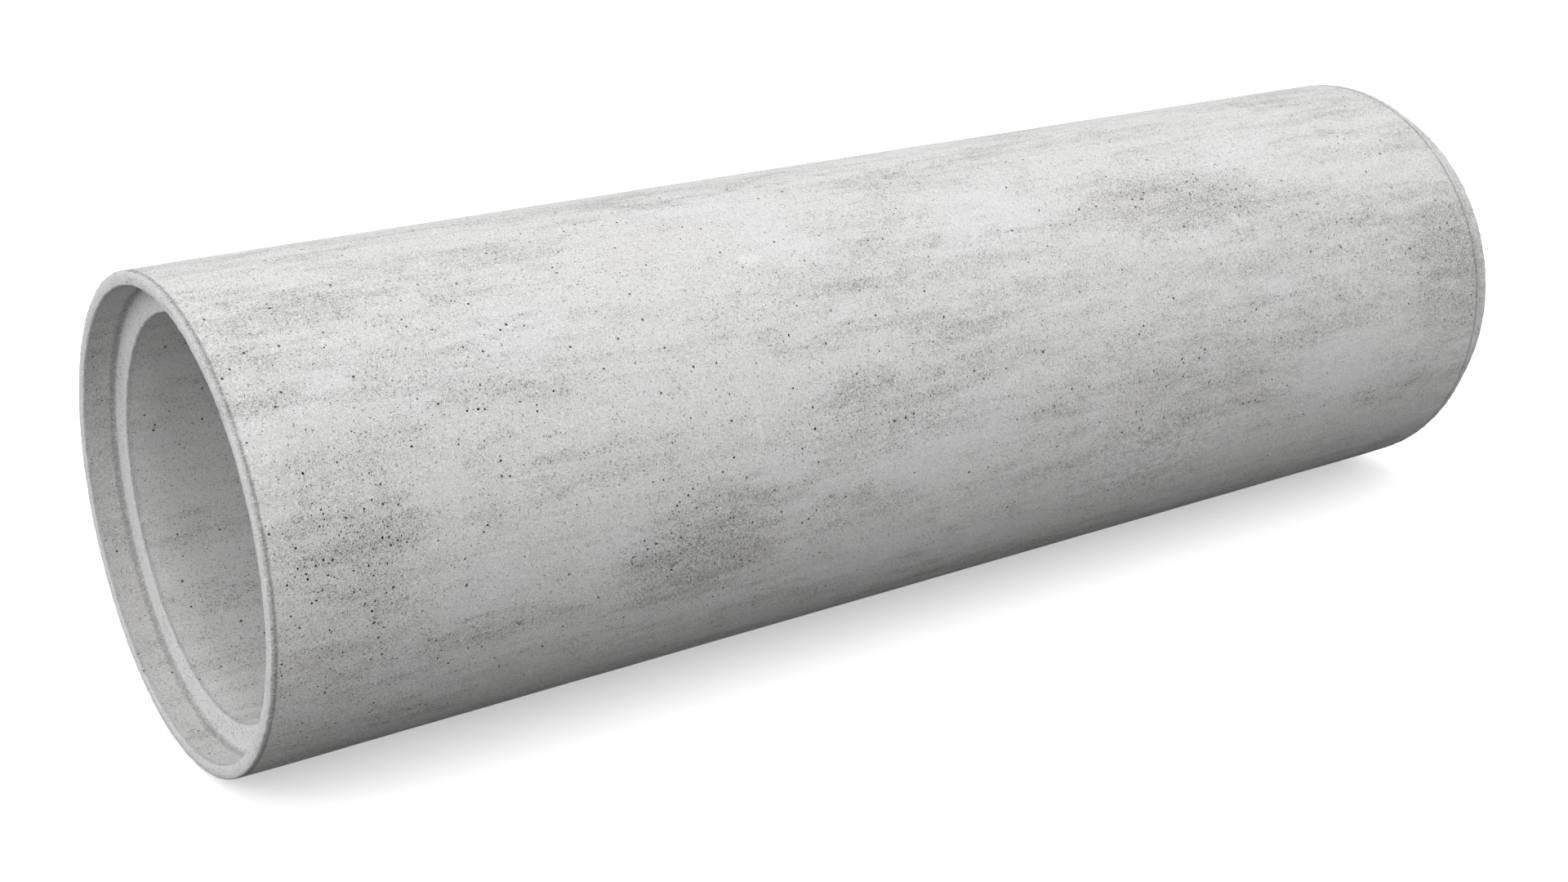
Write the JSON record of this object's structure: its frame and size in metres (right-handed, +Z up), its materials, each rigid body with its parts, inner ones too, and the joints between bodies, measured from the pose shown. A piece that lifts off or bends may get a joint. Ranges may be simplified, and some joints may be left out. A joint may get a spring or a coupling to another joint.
{
  "type": "concrete pipe",
  "caption": "Precast reinforced concrete drainage pipe with a plain barrel, a rebated socket at one end, a matching spigot at the other, and a welded wire cage on spacers cast in its wall.",
  "frame": {"origin": "below the middle of the pipe's overall length, on the line that it rests on", "axes": "+X along the pipe from its socket to its spigot, +Y across it, +Z up"},
  "size_m": [2.448, 0.7396, 0.74],
  "materials": {
    "concrete": "vibrated cast concrete, matt, with blow holes",
    "reinforcing_steel": "cold-drawn wire",
    "spacer_plastic": "moulded polypropylene"
  },
  "bodies": {
    "root": {"pipe_wall": "concrete", "hoop_01": "reinforcing_steel", "hoop_02": "reinforcing_steel", "hoop_03": "reinforcing_steel", "hoop_04": "reinforcing_steel", "hoop_05": "reinforcing_steel", "hoop_06": "reinforcing_steel", "hoop_07": "reinforcing_steel", "hoop_08": "reinforcing_steel", "hoop_09": "reinforcing_steel", "hoop_10": "reinforcing_steel", "hoop_11": "reinforcing_steel", "hoop_12": "reinforcing_steel", "hoop_13": "reinforcing_steel", "hoop_14": "reinforcing_steel", "hoop_15": "reinforcing_steel", "hoop_16": "reinforcing_steel", "hoop_17": "reinforcing_steel", "hoop_18": "reinforcing_steel", "hoop_19": "reinforcing_steel", "hoop_20": "reinforcing_steel", "hoop_21": "reinforcing_steel", "hoop_22": "reinforcing_steel", "hoop_23": "reinforcing_steel", "hoop_24": "reinforcing_steel", "longitudinal_wire_01": "reinforcing_steel", "longitudinal_wire_02": "reinforcing_steel", "longitudinal_wire_03": "reinforcing_steel", "longitudinal_wire_04": "reinforcing_steel", "longitudinal_wire_05": "reinforcing_steel", "longitudinal_wire_06": "reinforcing_steel", "longitudinal_wire_07": "reinforcing_steel", "longitudinal_wire_08": "reinforcing_steel", "spacer_wheel_01": "spacer_plastic", "spacer_wheel_02": "spacer_plastic", "spacer_wheel_03": "spacer_plastic", "spacer_wheel_04": "spacer_plastic", "spacer_wheel_05": "spacer_plastic", "spacer_wheel_06": "spacer_plastic", "spacer_wheel_07": "spacer_plastic", "spacer_wheel_08": "spacer_plastic", "spacer_wheel_09": "spacer_plastic", "spacer_wheel_10": "spacer_plastic", "spacer_wheel_11": "spacer_plastic", "spacer_wheel_12": "spacer_plastic"}
  },
  "joints": []
}
